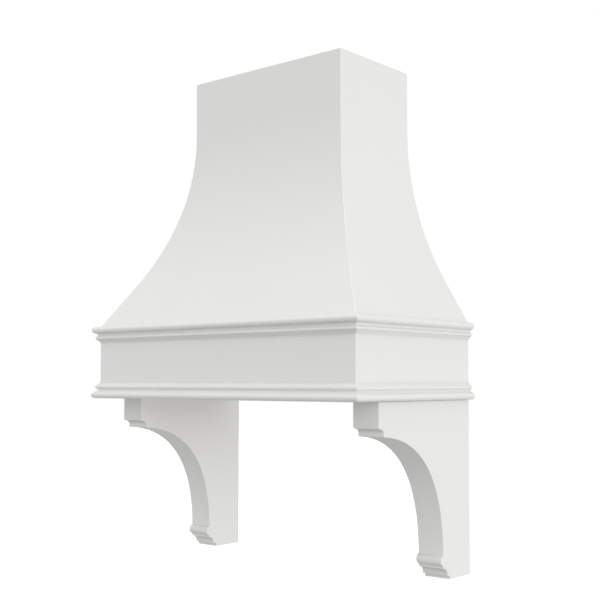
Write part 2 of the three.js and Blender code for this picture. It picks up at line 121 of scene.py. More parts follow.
class Sheet:
    # A node tree that is filled in from Python
    def __init__(self, tree):
        self.tree = tree

    def node(self, kind, settings=None, inputs=None, output=0):
        made = self.tree.nodes.new("ShaderNode" + kind)
        for key, value in (settings or {}).items():
            if key == "stops":  # two of them, as a new ramp has
                for stop, (position, tone) in zip(made.color_ramp.elements, value):
                    stop.position = position
                    stop.color = tone
            else:
                setattr(made, key, value)
        for key, value in (inputs or {}).items():
            self.feed(made.inputs[key], value)
        return Wire(self, made.outputs[output]) if made.outputs else None

    def feed(self, socket, value):
        if isinstance(value, Wire):
            self.tree.links.new(value.socket, socket)
        else:
            socket.default_value = value

    def set(self, socket, value):
        # One of the finish's own sockets
        self.feed(self.tree.nodes["Principled BSDF"].inputs[socket], value)

    def maths(self, operation, first, second=0.0):
        return self.node("Math", {"operation": operation}, {0: first, 1: second})

    def blend(self, factor, first, second):
        return self.node("Mix", {"data_type": "RGBA"}, {0: factor, 6: first, 7: second}, output=2)

    def stretch(self, vector, scale):
        return self.node("VectorMath", {"operation": "MULTIPLY"}, {0: vector, 1: scale})

    def noise(self, vector, scale, detail, roughness=0.5):
        return self.node("TexNoise", None, {
            "Vector": vector, "Scale": scale, "Detail": detail, "Roughness": roughness,
        })

    def grain(self):
        # Millimetres along the board, across it and through it
        return self.node("Attribute", {"attribute_name": "grain"}, output="Vector")

    def fleck(self, grain, scales, detail, roughness=0.5):
        # Noise with its own scale along, across and through the board
        return self.noise(self.stretch(grain, scales), 1.0, detail, roughness)

    def wave(self, phase):
        # To and fro between 0 and 1
        return self.maths("SINE", phase) * 0.5 + 0.5

    def ramp(self, factor, low, high):
        stops = [(low, (0, 0, 0, 1)), (high, (1, 1, 1, 1))]
        return self.node("ValToRGB", {"stops": stops}, {"Fac": factor})

    def bump(self, height, distance, strength):
        return self.node("Bump", None, {
            "Height": height, "Distance": distance, "Strength": strength,
        })


def newFinish(name):
    material = bpy.data.materials.new(name)
    material.use_nodes = True
    sheet = Sheet(material.node_tree)
    sheet.material = material
    return sheet


def colour(red, green, blue):
    return (red, green, blue, 1.0)


def makeSatinPaint():
    look = {
        "light": colour(0.752, 0.752, 0.736),
        "dark": colour(0.742, 0.742, 0.726),
        "drift": 7.0,  # the noise scales are per metre
        "peel": 420.0,  # orange peel left by the spray gun
        "grit": 2600.0,
        "gritShare": 0.15,
        "roughness": 0.40,
        "driftRoughness": 0.08,
        "gritRoughness": 0.04,
        "depth": 0.000012,  # metres
        "strength": 0.6,
    }
    sheet = newFinish("satinPaint")
    where = sheet.node("TexCoord", output="Object")
    drift = sheet.noise(where, look["drift"], 3.0)
    peel = sheet.noise(where, look["peel"], 2.0, 0.45)
    grit = sheet.noise(where, look["grit"], 1.0)
    rough = look["roughness"] + drift * look["driftRoughness"] + grit * look["gritRoughness"]
    height = peel + grit * look["gritShare"]
    sheet.set("Base Color", sheet.blend(drift, look["dark"], look["light"]))
    sheet.set("Roughness", rough)
    sheet.set("Normal", sheet.bump(height, look["depth"], look["strength"]))
    return sheet.material


def makePlyFace():
    # Rotary-cut veneer: broad soft figure, fine fibres and short pores
    look = {
        "pale": colour(0.640, 0.468, 0.285),
        "warm": colour(0.500, 0.330, 0.180),
        "pore": colour(0.270, 0.160, 0.080),
        "drift": (0.0016, 0.011, 0.0),  # scales along, across and through, per millimetre
        "fibre": (0.012, 0.9, 0.0),
        "pores": (0.09, 2.2, 0.0),
        "poreEdge": (0.66, 0.74),  # where in the noise a pore begins and is full
        "poreShare": 0.35,
        "poreDepth": 0.6,
        "figure": 58.0,  # higher packs the broad bands closer
        "figureShare": 0.45,
        "fibreShare": 0.75,
        "toneEdge": (0.25, 0.95),
        "roughness": 0.62,
        "fibreRoughness": 0.2,
        "depth": 0.00012,  # metres
        "strength": 0.5,
    }
    sheet = newFinish("birchVeneer")
    grain = sheet.grain()
    drift = sheet.fleck(grain, look["drift"], 3.0, 0.55)
    figure = sheet.wave(drift * look["figure"])
    fibre = sheet.fleck(grain, look["fibre"], 4.0, 0.6)
    pores = sheet.ramp(sheet.fleck(grain, look["pores"], 1.0), *look["poreEdge"])
    tone = sheet.ramp(figure * look["figureShare"] + fibre * look["fibreShare"], *look["toneEdge"])
    base = sheet.blend(tone, look["pale"], look["warm"])
    height = fibre - pores * look["poreDepth"]
    sheet.set("Base Color", sheet.blend(pores * look["poreShare"], base, look["pore"]))
    sheet.set("Roughness", look["roughness"] + fibre * look["fibreRoughness"])
    sheet.set("Normal", sheet.bump(height, look["depth"], look["strength"]))
    return sheet.material


def makePlyEdge():
    # The sawn edge, where plies lie across the third grain coordinate
    look = {
        "long": colour(0.610, 0.440, 0.265),
        "end": colour(0.330, 0.205, 0.105),
        "glue": colour(0.120, 0.070, 0.040),
        "ply": 1.45,  # its thickness
        "plyEdge": (0.42, 0.58),  # how sharply one ply gives way to the next
        "waver": (0.02, 0.02, 0.3),
        "waverShare": 0.25,  # of a ply
        "glueWidth": 0.07,  # as a share of a ply
        "glueShare": 0.7,
        "speck": (1.4, 1.4, 1.4),
        "speckShare": 0.5,
        "saw": (0.6, 0.6, 4.0),
        "roughness": 0.72,
        "speckRoughness": 0.16,
        "depth": 0.00015,  # metres
        "strength": 0.5,
    }
    sheet = newFinish("birchPlies")
    grain = sheet.grain()
    through = sheet.node("SeparateXYZ", None, {0: grain}, output="Z")
    waver = sheet.fleck(grain, look["waver"], 2.0)
    plies = through / look["ply"] + waver * look["waverShare"]
    turn = sheet.maths("PINGPONG", plies, 1.0)
    band = sheet.ramp(turn, *look["plyEdge"])
    line = sheet.node("Math", {"operation": "COMPARE"}, {0: turn, 1: 0.5, 2: look["glueWidth"]})
    speck = sheet.fleck(grain, look["speck"], 3.0, 0.7)
    saw = sheet.fleck(grain, look["saw"], 2.0)
    base = sheet.blend(band, look["long"], look["end"])
    base = sheet.blend(speck * look["speckShare"], base, look["end"])
    height = saw + speck * look["speckShare"]
    sheet.set("Base Color", sheet.blend(line * look["glueShare"], base, look["glue"]))
    sheet.set("Roughness", look["roughness"] + speck * look["speckRoughness"])
    sheet.set("Normal", sheet.bump(height, look["depth"], look["strength"]))
    return sheet.material


def makePoplar(name, endGrain):
    look = {
        "pale": colour(0.600, 0.500, 0.305),
        "green": colour(0.400, 0.350, 0.190),
        "streak": colour(0.230, 0.180, 0.110),
        "streakShare": 0.55,
        "heart": (0.0010, 0.014, 0.014),  # where the wood turns green
        "heartEdge": (0.52, 0.68),
        "heartShare": 0.7,
        "drift": (0.0012, 0.03, 0.03),
        "rings": 46.0,  # higher packs the rings closer
        "fibre": (0.010, 0.8, 0.8),
        "endRings": (0.0, 0.03, 0.03),
        "endWave": {"Scale": 3.0, "Distortion": 3.0, "Detail": 2.0, "Detail Scale": 1.5},
        "endFibre": (0.5, 2.4, 2.4),
        "ringShare": 0.35,
        "fibreShare": 0.8,
        "toneEdge": (0.25, 1.0),
        "roughness": 0.62,
        "fibreRoughness": 0.2,
        "depth": 0.0001,  # metres
        "strength": 0.5,
    }
    sheet = newFinish(name)
    grain = sheet.grain()
    if endGrain:
        inputs = {"Vector": sheet.stretch(grain, look["endRings"]), **look["endWave"]}
        settings = {"wave_type": "RINGS", "rings_direction": "X"}
        rings = sheet.node("TexWave", settings, inputs, output="Fac")
        fibre = sheet.fleck(grain, look["endFibre"], 3.0, 0.7)
    else:
        rings = sheet.wave(sheet.fleck(grain, look["drift"], 3.0) * look["rings"])
        fibre = sheet.fleck(grain, look["fibre"], 4.0, 0.65)
    heart = sheet.ramp(sheet.fleck(grain, look["heart"], 2.0), *look["heartEdge"])
    tone = sheet.ramp(rings * look["ringShare"] + fibre * look["fibreShare"], *look["toneEdge"])
    base = sheet.blend(heart * look["heartShare"], look["pale"], look["green"])
    sheet.set("Base Color", sheet.blend(tone * look["streakShare"], base, look["streak"]))
    sheet.set("Roughness", look["roughness"] + fibre * look["fibreRoughness"])
    sheet.set("Normal", sheet.bump(fibre, look["depth"], look["strength"]))
    return sheet.material


def makeZincSteel():
    look = {
        "bright": colour(0.66, 0.68, 0.70),
        "dull": colour(0.47, 0.49, 0.50),
        "bloom": 160.0,  # the noise scales are per metre
        "grit": 1500.0,
        "roughness": 0.24,
        "bloomRoughness": 0.16,
        "gritRoughness": 0.06,
        "depth": 0.00001,  # metres
        "strength": 0.5,
    }
    sheet = newFinish("zincSteel")
    where = sheet.node("TexCoord", output="Object")
    bloom = sheet.noise(where, look["bloom"], 4.0, 0.6)
    grit = sheet.noise(where, look["grit"], 2.0)
    rough = look["roughness"] + bloom * look["bloomRoughness"] + grit * look["gritRoughness"]
    sheet.set("Base Color", sheet.blend(bloom, look["dull"], look["bright"]))
    sheet.set("Metallic", 1.0)
    sheet.set("Roughness", rough)
    sheet.set("Normal", sheet.bump(grit, look["depth"], look["strength"]))
    return sheet.material


satinPaint = makeSatinPaint()
plyFace = makePlyFace()
plyEdge = makePlyEdge()
poplarFace = makePoplar("poplarFace", False)
poplarEnd = makePoplar("poplarEnd", True)
zincSteel = makeZincSteel()
print("finishes made")


def turnAt(before, here, after):
    # The unit directions into and out of a corner, and how far it turns to the left
    into = (Vector(here) - Vector(before)).normalized()
    out = (Vector(after) - Vector(here)).normalized()
    return into, out, math.atan2(into.x * out.y - into.y * out.x, into.dot(out))


def signedArea(points):
    pairs = zip(points, points[1:] + points[:1])
    return sum(a[0] * b[1] - b[0] * a[1] for a, b in pairs) / 2


def leftWise(points):
    return points if signedArea(points) > 0 else points[::-1]


def easeCorners(points, radius, steps=3, leastTurn=0.6):
    # Rounds a left-wise outline's outer corners, those that turn by leastTurn radians or more
    eased = []
    for i, here in enumerate(points):
        before, after = points[i - 1], points[(i + 1) % len(points)]
        into, _, turn = turnAt(before, here, after)
        if turn < leastTurn:
            eased.append(tuple(here))
            continue
        room = min((Vector(here) - Vector(before)).length, (Vector(after) - Vector(here)).length)
        reach = min(radius * math.tan(turn / 2), room * 0.45)  # leaves room for the next corner
        bend = reach / math.tan(turn / 2)
        start = Vector(here) - into * reach
        centre = start + Vector((-into.y, into.x)) * bend
        spoke = start - centre
        for step in range(steps + 1):
            angle = turn * step / steps
            eased.append((
                centre.x + spoke.x * math.cos(angle) - spoke.y * math.sin(angle),
                centre.y + spoke.x * math.sin(angle) + spoke.y * math.cos(angle),
            ))
    return eased


def inset(points, distance):
    # Moves a left-wise outline inwards, each corner along its mitre
    moved = []
    for i, here in enumerate(points):
        into, out, _ = turnAt(points[i - 1], here, points[(i + 1) % len(points)])
        normals = Vector((-into.y, into.x)) + Vector((-out.y, out.x))
        share = distance * 2 / max(normals.length_squared, 0.8)  # holds back very sharp mitres
        moved.append((here[0] + normals.x * share, here[1] + normals.y * share))
    return moved


def arc(x, y, xRadius, yRadius, start, end, steps):
    return [
        (x + xRadius * math.cos(a), y + yRadius * math.sin(a))
        for a in (start + (end - start) * i / steps for i in range(steps + 1))
    ]


def bezier(points, steps):
    # A curve of any degree from its control points, without its first point
    curve = []
    for i in range(1, steps + 1):
        level = [Vector(p) for p in points]
        while len(level) > 1:
            level = [a.lerp(b, i / steps) for a, b in zip(level, level[1:])]
        curve.append(tuple(level[0]))
    return curve


def easedStart(ease, steps=3):
    # From a rounded end inwards: how far along, and how far the outline is drawn in there
    start = []
    for step in range(steps + 1):
        angle = quarterTurn * step / steps
        start.append((ease * (1 - math.cos(angle)), ease * (1 - math.sin(angle))))
    return start


def easedEnds(low, high, ease, steps=3):
    # The same for a piece from low to high, both of whose ends are rounded
    start = easedStart(ease, steps)
    near = [(low + along, drawn) for along, drawn in start]
    far = [(high - along, drawn) for along, drawn in reversed(start)]
    return near + far


def loft(tubes):
    # Each tube is a list of rings of (x, depth, height). Their ends are capped together.
    bm = bmesh.new()
    ends = []
    for rings in tubes:
        rows = [[bm.verts.new(place(*p)) for p in ring] for ring in rings]
        for low, high in zip(rows, rows[1:]):
            for i, vert in enumerate(low):
                j = (i + 1) % len(low)
                bm.faces.new((vert, low[j], high[j], high[i]))
        ends.append((rows[0], rows[-1]))
    for rows in zip(*ends):
        if len(rows) == 1:
            bm.faces.new(rows[0])
            continue
        edges = [bm.edges.get((a, b)) for row in rows for a, b in zip(row, row[1:] + row[:1])]
        bmesh.ops.triangle_fill(bm, edges=edges, use_beauty=True, use_dissolve=False)
    bmesh.ops.recalc_face_normals(bm, faces=bm.faces)
    return bm


def addPiece(name, bm, spec):
    # spec holds the finishes, the node it replaces and its slot, which is not used here. choose picks
    # a face's finish and grain gives a point's place in the board.
    mesh = bpy.data.meshes.new(name)
    bm.to_mesh(mesh)
    bm.free()
    piece = bpy.data.objects.new(name, mesh)
    bpy.context.scene.collection.objects.link(piece)
    for material in spec["finishes"]:
        mesh.materials.append(material)
    if "choose" in spec:
        for face in mesh.polygons:
            face.material_index = spec["choose"](*measure(face.center), face.normal)
    if "grain" in spec:
        grain = mesh.attributes.new("grain", "FLOAT_VECTOR", "POINT")
        for vert, value in zip(mesh.vertices, grain.data):
            value.vector = spec["grain"](*measure(vert.co))
    mesh.shade_smooth()
    mesh.set_sharp_from_angle(angle=creaseAngle)
    weighted = piece.modifiers.new("flatFaces", "WEIGHTED_NORMAL")
    weighted.keep_sharp = True
    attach(piece, "root")
    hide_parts(spec["node"])


def hipStation(half, front, side, angle):
    # A station turns how far out a point of the outline is into its x and depth. This one is
    # on the eased corner between the front and a side.
    radius = hood["hipRadius"]
    return lambda out: (
        side * (half + out - radius + radius * math.sin(angle)),
        front + out - radius + radius * math.cos(angle),
    )


def frontStations(half, front):
    # Across the front from one hip's middle to the other's
    radius, steps, lengths = hood["hipRadius"], hood["hipSteps"], hood["frontLengths"]

    def straight(share):
        return lambda out: (share * (half + out - radius), front + out)

    left = [hipStation(half, front, -1, eighthTurn * (1 - i / steps)) for i in range(steps)]
    middle = [straight(-1 + 2 * i / lengths) for i in range(lengths + 1)]
    right = [hipStation(half, front, 1, eighthTurn * (i + 1) / steps) for i in range(steps)]
    return left + middle + right


def sideStations(half, front, side):
    # From the hip's middle back, up to the last length before the wall
    radius, steps, lengths = hood["hipRadius"], hood["hipSteps"], hood["sideLengths"]

    def straight(share):
        return lambda out: (side * (half + out), share * (front + out - radius))

    corner = [
        hipStation(half, front, side, eighthTurn * (1 + i / steps)) for i in range(steps + 1)
    ]
    return corner + [straight(1 - i / lengths) for i in range(1, lengths)]


def frontRun(outline, half, front):
    stations = frontStations(half, front)
    return loft([[[(*station(p[0]), p[1]) for p in outline] for station in stations]])


def sideRun(outline, half, front, side, ease):
    stations = sideStations(half, front, side)
    rings = [[(*station(p[0]), p[1]) for p in outline] for station in stations]
    for depth, drawn in reversed(easedStart(ease)):
        rings.append([(side * (half + p[0]), depth, p[1]) for p in inset(outline, drawn)])
    return loft([rings])


body = {
    "thickness": 12.7,
    "bendSteps": 44,
    "straightSteps": 5,  # above the bend, and below it
    "ease": 1.0,
    "endEase": 0.8,
    "rim": 1.5,  # how far in from an edge the sawn plies show
    "grainStretch": 1.1,  # the flare makes the skin longer than it is tall
    "grainShift": 900.0,  # so that the two sides differ
}


def findFootAngle():
    # Halves the range until the bend and the slope below it reach out far enough together
    low, high = 0.0, quarterTurn
    for _ in range(60):
        angle = (low + high) / 2
        spread = bendHeight * math.tan(angle / 2) + hood["footHeight"] * math.tan(angle)
        low, high = (angle, high) if spread < hood["flareOut"] else (low, angle)
    return (low + high) / 2


footAngle = findFootAngle()
bendRadius = bendHeight / math.sin(footAngle)


def spreadAt(inside, height):
    # How far a line inside the skin stands out from the top's outer face
    drop = bendStart - height
    radius = bendRadius + inside
    if drop <= 0:
        return -inside
    bendDrop = radius * math.sin(footAngle)
    if drop < bendDrop:
        return bendRadius - math.sqrt(radius ** 2 - drop ** 2)
    return bendRadius - radius * math.cos(footAngle) + (drop - bendDrop) * math.tan(footAngle)


def flareLine(inside):
    # From the top down to the apron
    radius = bendRadius + inside
    top, foot = hood["height"], hood["apronHeight"]
    bendFoot = bendStart - radius * math.sin(footAngle)
    count, bends = body["straightSteps"], body["bendSteps"]
    heights = [top + (bendStart - top) * i / count for i in range(count)]
    heights += [bendStart - radius * math.sin(footAngle * i / bends) for i in range(bends + 1)]
    heights += [bendFoot + (foot - bendFoot) * i / count for i in range(1, count + 1)]
    return [(spreadAt(inside, height), height) for height in heights]


def depthInSkin(out, height):
    # How deep a point lies under the painted face, square to the slope there
    slope = math.atan2(spreadAt(0, height - 1) - spreadAt(0, height + 1), 2)
    return (spreadAt(0, height) - out) * math.cos(slope)


def skinFinish(half, front):
    # 0 paint outside, 1 bare veneer inside, 2 bare plies on the rims
    rim = body["rim"]

    def choose(x, depth, height, normal):
        out = max(abs(x) - half, depth - front)
        if depthInSkin(out, height) < body["ease"] * paintShare and depth > onWall:
            return 0
        onRim = height > hood["height"] - rim or height < hood["apronHeight"] + rim or depth < rim
        return 2 if onRim else 1
    return choose


def addBody():
    outline = flareLine(0) + flareLine(body["thickness"])[::-1]
    outline = easeCorners(leftWise(outline), body["ease"])
    half, front = halfTop, hood["topDepth"]
    stretch, shift = body["grainStretch"], body["grainShift"]
    spec = {"finishes": [satinPaint, plyFace, plyEdge], "slot": "satin_paint"}
    spec["choose"] = skinFinish(half, front)
    spec["node"] = "front_panel"
    spec["grain"] = lambda x, depth, height: (
        x, height * stretch, depthInSkin(depth - front, height),
    )
    addPiece("painted_front_panel", frontRun(outline, half, front), spec)
    for side, word in sides:
        spec["node"] = f"side_panel_{word}"
        spec["grain"] = lambda x, depth, height: (
            depth + shift * side, height * stretch, depthInSkin(abs(x) - half, height),
        )
        run = sideRun(outline, half, front, side, body["endEase"])
        addPiece(f"painted_side_panel_{word}", run, spec)


addBody()
print("flared body made")

apron = {
    "thickness": 19.05,
    "rebate": 9.525,
    "platform": 19.35,  # the platform and its glue line
    "ease": 0.9,
    "endEase": 0.8,
    "rim": 1.0,  # how far in from an edge the sawn plies show
    "frontShift": 400.0,  # where each board's grain starts
    "sideShift": 700.0,
}


def addApron():
    top, inner = hood["apronHeight"], -apron["thickness"]
    lip = inner + apron["rebate"]
    outline = [
        (0, 0), (0, top), (inner, top), (inner, apron["platform"]), (lip, apron["platform"]),
        (lip, 0),
    ]
    outline = easeCorners(leftWise(outline), apron["ease"])

    def choose(x, depth, height, normal):
        # 0 paint outside and underneath, 1 bare veneer inside, 2 bare plies on the rims
        out = max(abs(x) - halfApron, depth - apronDepth)
        if out > -apron["ease"] * paintShare or (height < apron["ease"] and depth > onWall):
            return 0
        return 2 if height > top - apron["rim"] or depth < apron["rim"] else 1

    spec = {"finishes": [satinPaint, plyFace, plyEdge], "slot": "satin_paint", "choose": choose}
    spec["node"] = "apron_front"
    spec["grain"] = lambda x, depth, height: (
        x + apron["frontShift"], height, apronDepth - depth,
    )
    addPiece("painted_apron_front", frontRun(outline, halfApron, apronDepth), spec)
    for side, word in sides:
        spec["node"] = f"apron_{word}"
        spec["grain"] = lambda x, depth, height: (
            depth + apron["sideShift"] * side, height, halfApron - abs(x),
        )
        run = sideRun(outline, halfApron, apronDepth, side, apron["endEase"])
        addPiece(f"painted_apron_{word}", run, spec)


addApron()
print("apron made")

moulding = {
    "height": 46.5,
    "out": 19.05,
    "noseRadius": 9.525,
    "noseSteps": 24,
    "coveMouth": 9.1,  # how far out the cove starts, over the nose
    "coveOut": 6.8,  # where the cove's hollow is pulled to
    "coveUp": 21.0,
    "coveSteps": 8,
    "roll": 11.0,
    "rollFoot": 26.6,
    "rollRadius": 5.6,
    "rollSteps": 16,
    "rollTurn": 75.0,  # degrees past the roll's tip to where the band starts
    "band": 2.8,  # how far out the band ends
    "bandTop": 43.1,
    "quirk": 0.8,
    "fillet": 1.4,
    "filletHeight": 2.0,
    "ease": 0.15,
    "easeSteps": 2,
    "leastTurn": 1.2,  # radians; corners that turn less stay sharp
    "endEase": 0.3,
}


def mouldingOutline():
    # Nose, cove, roll, sloping band, quirk and fillet, as distances out and up
    m = moulding
    nose, roll = m["noseRadius"], m["rollRadius"]
    middle, rollFoot = m["roll"] - roll, m["rollFoot"]
    quirkTop = m["height"] - m["filletHeight"]
    coveStart, hollow = (m["coveMouth"], 2 * nose), (m["coveOut"], m["coveUp"])
    turn = math.radians(m["rollTurn"])
    points = [(0, 0)]
    points += arc(m["out"] - nose, nose, nose, nose, -quarterTurn, quarterTurn, m["noseSteps"])
    points.append(coveStart)
    points += bezier([coveStart, hollow, (middle, rollFoot)], m["coveSteps"])
    points += arc(middle, rollFoot + roll, roll, roll, -quarterTurn, turn, m["rollSteps"])[1:]
    points += [(m["band"], m["bandTop"]), (m["quirk"], m["bandTop"]), (m["quirk"], quirkTop)]
    points += [(m["fillet"], quirkTop), (m["fillet"], m["height"]), (0, m["height"])]
    return points


def addMouldings():
    m = moulding
    kinds = {
        "lower_moulding": lambda up: up,
        "crown_moulding": lambda up: hood["apronHeight"] - up,  # turned over
    }
    spec = {"finishes": [satinPaint], "slot": "satin_paint"}
    for kind, heightOf in kinds.items():
        outline = leftWise([(out, heightOf(up)) for out, up in mouldingOutline()])
        outline = easeCorners(outline, m["ease"], m["easeSteps"], m["leastTurn"])
        spec["node"] = f"{kind}_front"
        addPiece(f"painted_{kind}_front", frontRun(outline, halfApron, apronDepth), spec)
        for side, word in sides:
            spec["node"] = f"{kind}_{word}"
            run = sideRun(outline, halfApron, apronDepth, side, m["endEase"])
            addPiece(f"painted_{kind}_{word}", run, spec)


addMouldings()
print("mouldings made")

corbel = {
    "width": 76.2,
    "depth": 406.4,
    "drop": 457.2,
    "headHeight": 64.9,
    "headCoveDepth": 20.2,
    "headCoveHeight": 11.6,
    "neckHeight": 8.5,
    "legDepth": 129.2,
    "archFlatShare": 0.731,  # how far the arch keeps to its flat top, and then to its leg
    "archLegShare": 0.521,
    "archDip": 10.3,
    "archSteps": 56,
    "beadHeight": 26.2,
    "beadOut": 12.0,
    "beadSteps": 24,
    "footFillet": 6.9,
    "footCoveDepth": 19.05,
    "footCoveHeight": 20.3,
    "footStep": 9.6,
    "footStepHeight": 9.5,
    "coveSteps": 9,
    "cornerEase": 1.3,
    "leastTurn": 1.0,
    "ease": 1.1,
    "reveal": 1.1,  # height of the fine shadow line at the top of the outer side
    "revealDepth": 4.0,
}
corbelMiddle = halfApron - corbel["width"] / 2


def corbelOutline():
    # A corbel's side view as depth and height below the hood's underside
    c = corbel
    deep, leg = c["depth"], c["legDepth"]
    neckDepth = deep - c["headCoveDepth"]
    neckTop = -c["headHeight"] - c["headCoveHeight"]
    archTop = neckTop - c["neckHeight"]
    footTop = -c["drop"] + c["footStepHeight"]
    beadFoot = footTop + c["footCoveHeight"] + c["footFillet"]
    beadTop = beadFoot + c["beadHeight"]
    footDepth = leg - c["footCoveDepth"] - c["footStep"]
    tall = c["beadHeight"] / 2

    def cove(depth, foot, out, high):
        return arc(depth, foot, out, high, quarterTurn, 2 * quarterTurn, c["coveSteps"])

    points = [(0, 0), (deep, 0)]
    points += cove(deep, neckTop, c["headCoveDepth"], c["headCoveHeight"])
    points.append((neckDepth, archTop))
    points += bezier([
        (neckDepth, archTop),
        (neckDepth - (neckDepth - leg) * c["archFlatShare"], archTop - c["archDip"]),
        (leg, beadTop + (archTop - beadTop) * c["archLegShare"]),
        (leg, beadTop),
    ], c["archSteps"])
    bead = arc(leg, beadFoot + tall, c["beadOut"], tall, quarterTurn, -quarterTurn, c["beadSteps"])
    points += bead[1:]
    points += cove(leg, footTop, c["footCoveDepth"], c["footCoveHeight"])
    points += [(footDepth, footTop), (footDepth, -c["drop"]), (0, -c["drop"])]
    return leftWise(points)


def wallCutter(x, width, height, tall, deep):
    # A block round a middle at x and height, from just behind the wall's face to a depth
    low, high = height - tall / 2, height + tall / 2
    ring = [(x - width / 2, low), (x + width / 2, low), (x + width / 2, high), (x - width / 2, high)]
    return loft([[[(px, depth, pz) for px, pz in ring] for depth in (-1, deep)]])


def cutFrom(bm, cutters):
    # Takes the cutters out of a mesh
    def toObject(source, name):
        mesh = bpy.data.meshes.new(name)
        source.to_mesh(mesh)
        source.free()
        made = bpy.data.objects.new(name, mesh)
        bpy.context.scene.collection.objects.link(made)
        return made

    work = toObject(bm, "work")
    tools = [toObject(cutter, "tool") for cutter in cutters]
    for tool in tools:
        modifier = work.modifiers.new("cut", "BOOLEAN")
        modifier.operation = "DIFFERENCE"
        modifier.solver = "EXACT"
        modifier.object = tool
    depsgraph = bpy.context.evaluated_depsgraph_get()
    cut = bmesh.new()
    cut.from_mesh(work.evaluated_get(depsgraph).data)
    for made in [work, *tools]:
        bpy.data.objects.remove(made)
    return cut


hanger = {
    "width": 31.75,
    "height": 57.15,
    "thickness": 2.0,
    "corner": 3.0,
    "cornerSteps": 6,
    "edgeEase": 0.25,
    "seat": 2.6,  # depth of the recess that the plate lies in
    "pocket": 12.0,  # depth of the hollow behind its keyhole
    "clearance": 0.3,
    "keyRadius": 6.0,
    "keyDrop": 8.0,  # from the plate's middle down to the middle of the keyhole's round
    "keySteps": 28,
    "slotRadius": 2.8,
    "keyRise": 12.0,  # and up to the middle of its slot's round end
    "slotSteps": 12,
    "holeSteps": 24,
    "screwInset": 6.35,  # from the plate's ends to its screws
}
hangerMiddle = -corbel["drop"] / 2


def corbelCutters(side):
    # The plate's recess, the hollow behind its keyhole and the shadow line under the moulding
    c, h = corbel, hanger
    gap, middle = h["clearance"], side * corbelMiddle
    rise, fall = h["keyRise"] + h["keyRadius"], h["keyDrop"] + h["keyRadius"]
    keyMiddle = hangerMiddle + (rise - fall) / 2
    return [
        wallCutter(middle, h["width"] + 2 * gap, hangerMiddle, h["height"] + 2 * gap, h["seat"]),
        wallCutter(middle, 2 * h["keyRadius"] + 2 * gap, keyMiddle, rise + fall, h["pocket"]),
        wallCutter(
            side * halfApron, 2 * c["revealDepth"], 0, 2 * c["reveal"],
            c["depth"] - c["revealDepth"],
        ),
    ]


def addCorbels():
    outline = easeCorners(corbelOutline(), corbel["cornerEase"], leastTurn=corbel["leastTurn"])
    half = corbel["width"] / 2
    for side, word in sides:
        middle = side * corbelMiddle
        rings = [
            [(x, *p) for p in inset(outline, drawn)]
            for x, drawn in easedEnds(middle - half, middle + half, corbel["ease"])
        ]

        def choose(x, depth, height, normal):
            # 0 paint, 1 bare wood in the recess and the hollow, with a little to spare round them
            across = abs(x - middle) < hanger["width"] / 2 + 1
            upright = abs(height - hangerMiddle) < hanger["height"] / 2 + 1
            return 1 if across and upright and onWall < depth < hanger["pocket"] + 0.1 else 0

        addPiece(f"painted_corbel_{word}", cutFrom(loft([rings]), corbelCutters(side)), {
            "finishes": [satinPaint, poplarFace], "slot": "satin_paint",
            "node": f"corbel_{word}", "choose": choose,
            "grain": lambda x, depth, height: (height, x, depth),
        })


addCorbels()
print("corbels made")

board = {
    "weld": 0.001,
    "flat": 0.4,  # degrees; faces that turn less are joined
    "sharp": 0.5,  # radians; edges that turn more are eased
    "ease": 0.5,
    "easeSteps": 2,
    "facing": 0.8,  # how squarely a face has to look along an axis
    "underside": 0.1,  # faces lower than this are seen from below, so they are painted
    "grainShift": 137.0,  # gives every board a grain of its own
    "acrossShare": 0.37,
}


def boardShape(node):
    # The node's own shape, with its flat faces joined and its edges eased
    bm = bmesh.new()
    bm.from_mesh(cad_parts[node].data)
    flat = math.radians(board["flat"])
    bmesh.ops.remove_doubles(bm, verts=bm.verts, dist=board["weld"] * mm)
    bmesh.ops.dissolve_limit(bm, angle_limit=flat, verts=bm.verts, edges=bm.edges)
    sharp = [
        e for e in bm.edges if len(e.link_faces) == 2 and e.calc_face_angle() > board["sharp"]
    ]
    bmesh.ops.bevel(
        bm, geom=sharp, offset=board["ease"] * mm, segments=board["easeSteps"],
        affect="EDGES", profile=0.5, clamp_overlap=True,
    )
    bmesh.ops.recalc_face_normals(bm, faces=bm.faces)
    return bm


def addBoard(node, through, along, kind):
    first, third = "xyz".index(along), "xyz".index(through)
    second = 3 - first - third
    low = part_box(node)[0] / mm
    shift = board["grainShift"] * sum(ord(letter) for letter in node)

    def grain(x, depth, height):
        at = (x, -depth, height - hood["hangHeight"])
        return at[first] + shift, at[second] + shift * board["acrossShare"], at[third] - low[third]

    def choosePly(x, depth, height, normal):
        if height < board["underside"]:
            return 2
        return 0 if abs(normal[third]) > board["facing"] else 1

    def choosePoplar(x, depth, height, normal):
        return 1 if abs(normal[first]) > board["facing"] else 0

    spec = {"node": node, "grain": grain}
    if kind == "ply":
        spec.update(finishes=[plyFace, plyEdge, satinPaint], choose=choosePly, slot="plywood")
    else:
        spec.update(finishes=[poplarFace, poplarEnd], choose=choosePoplar, slot="poplar")
    addPiece(f"bare_{node}", boardShape(node), spec)


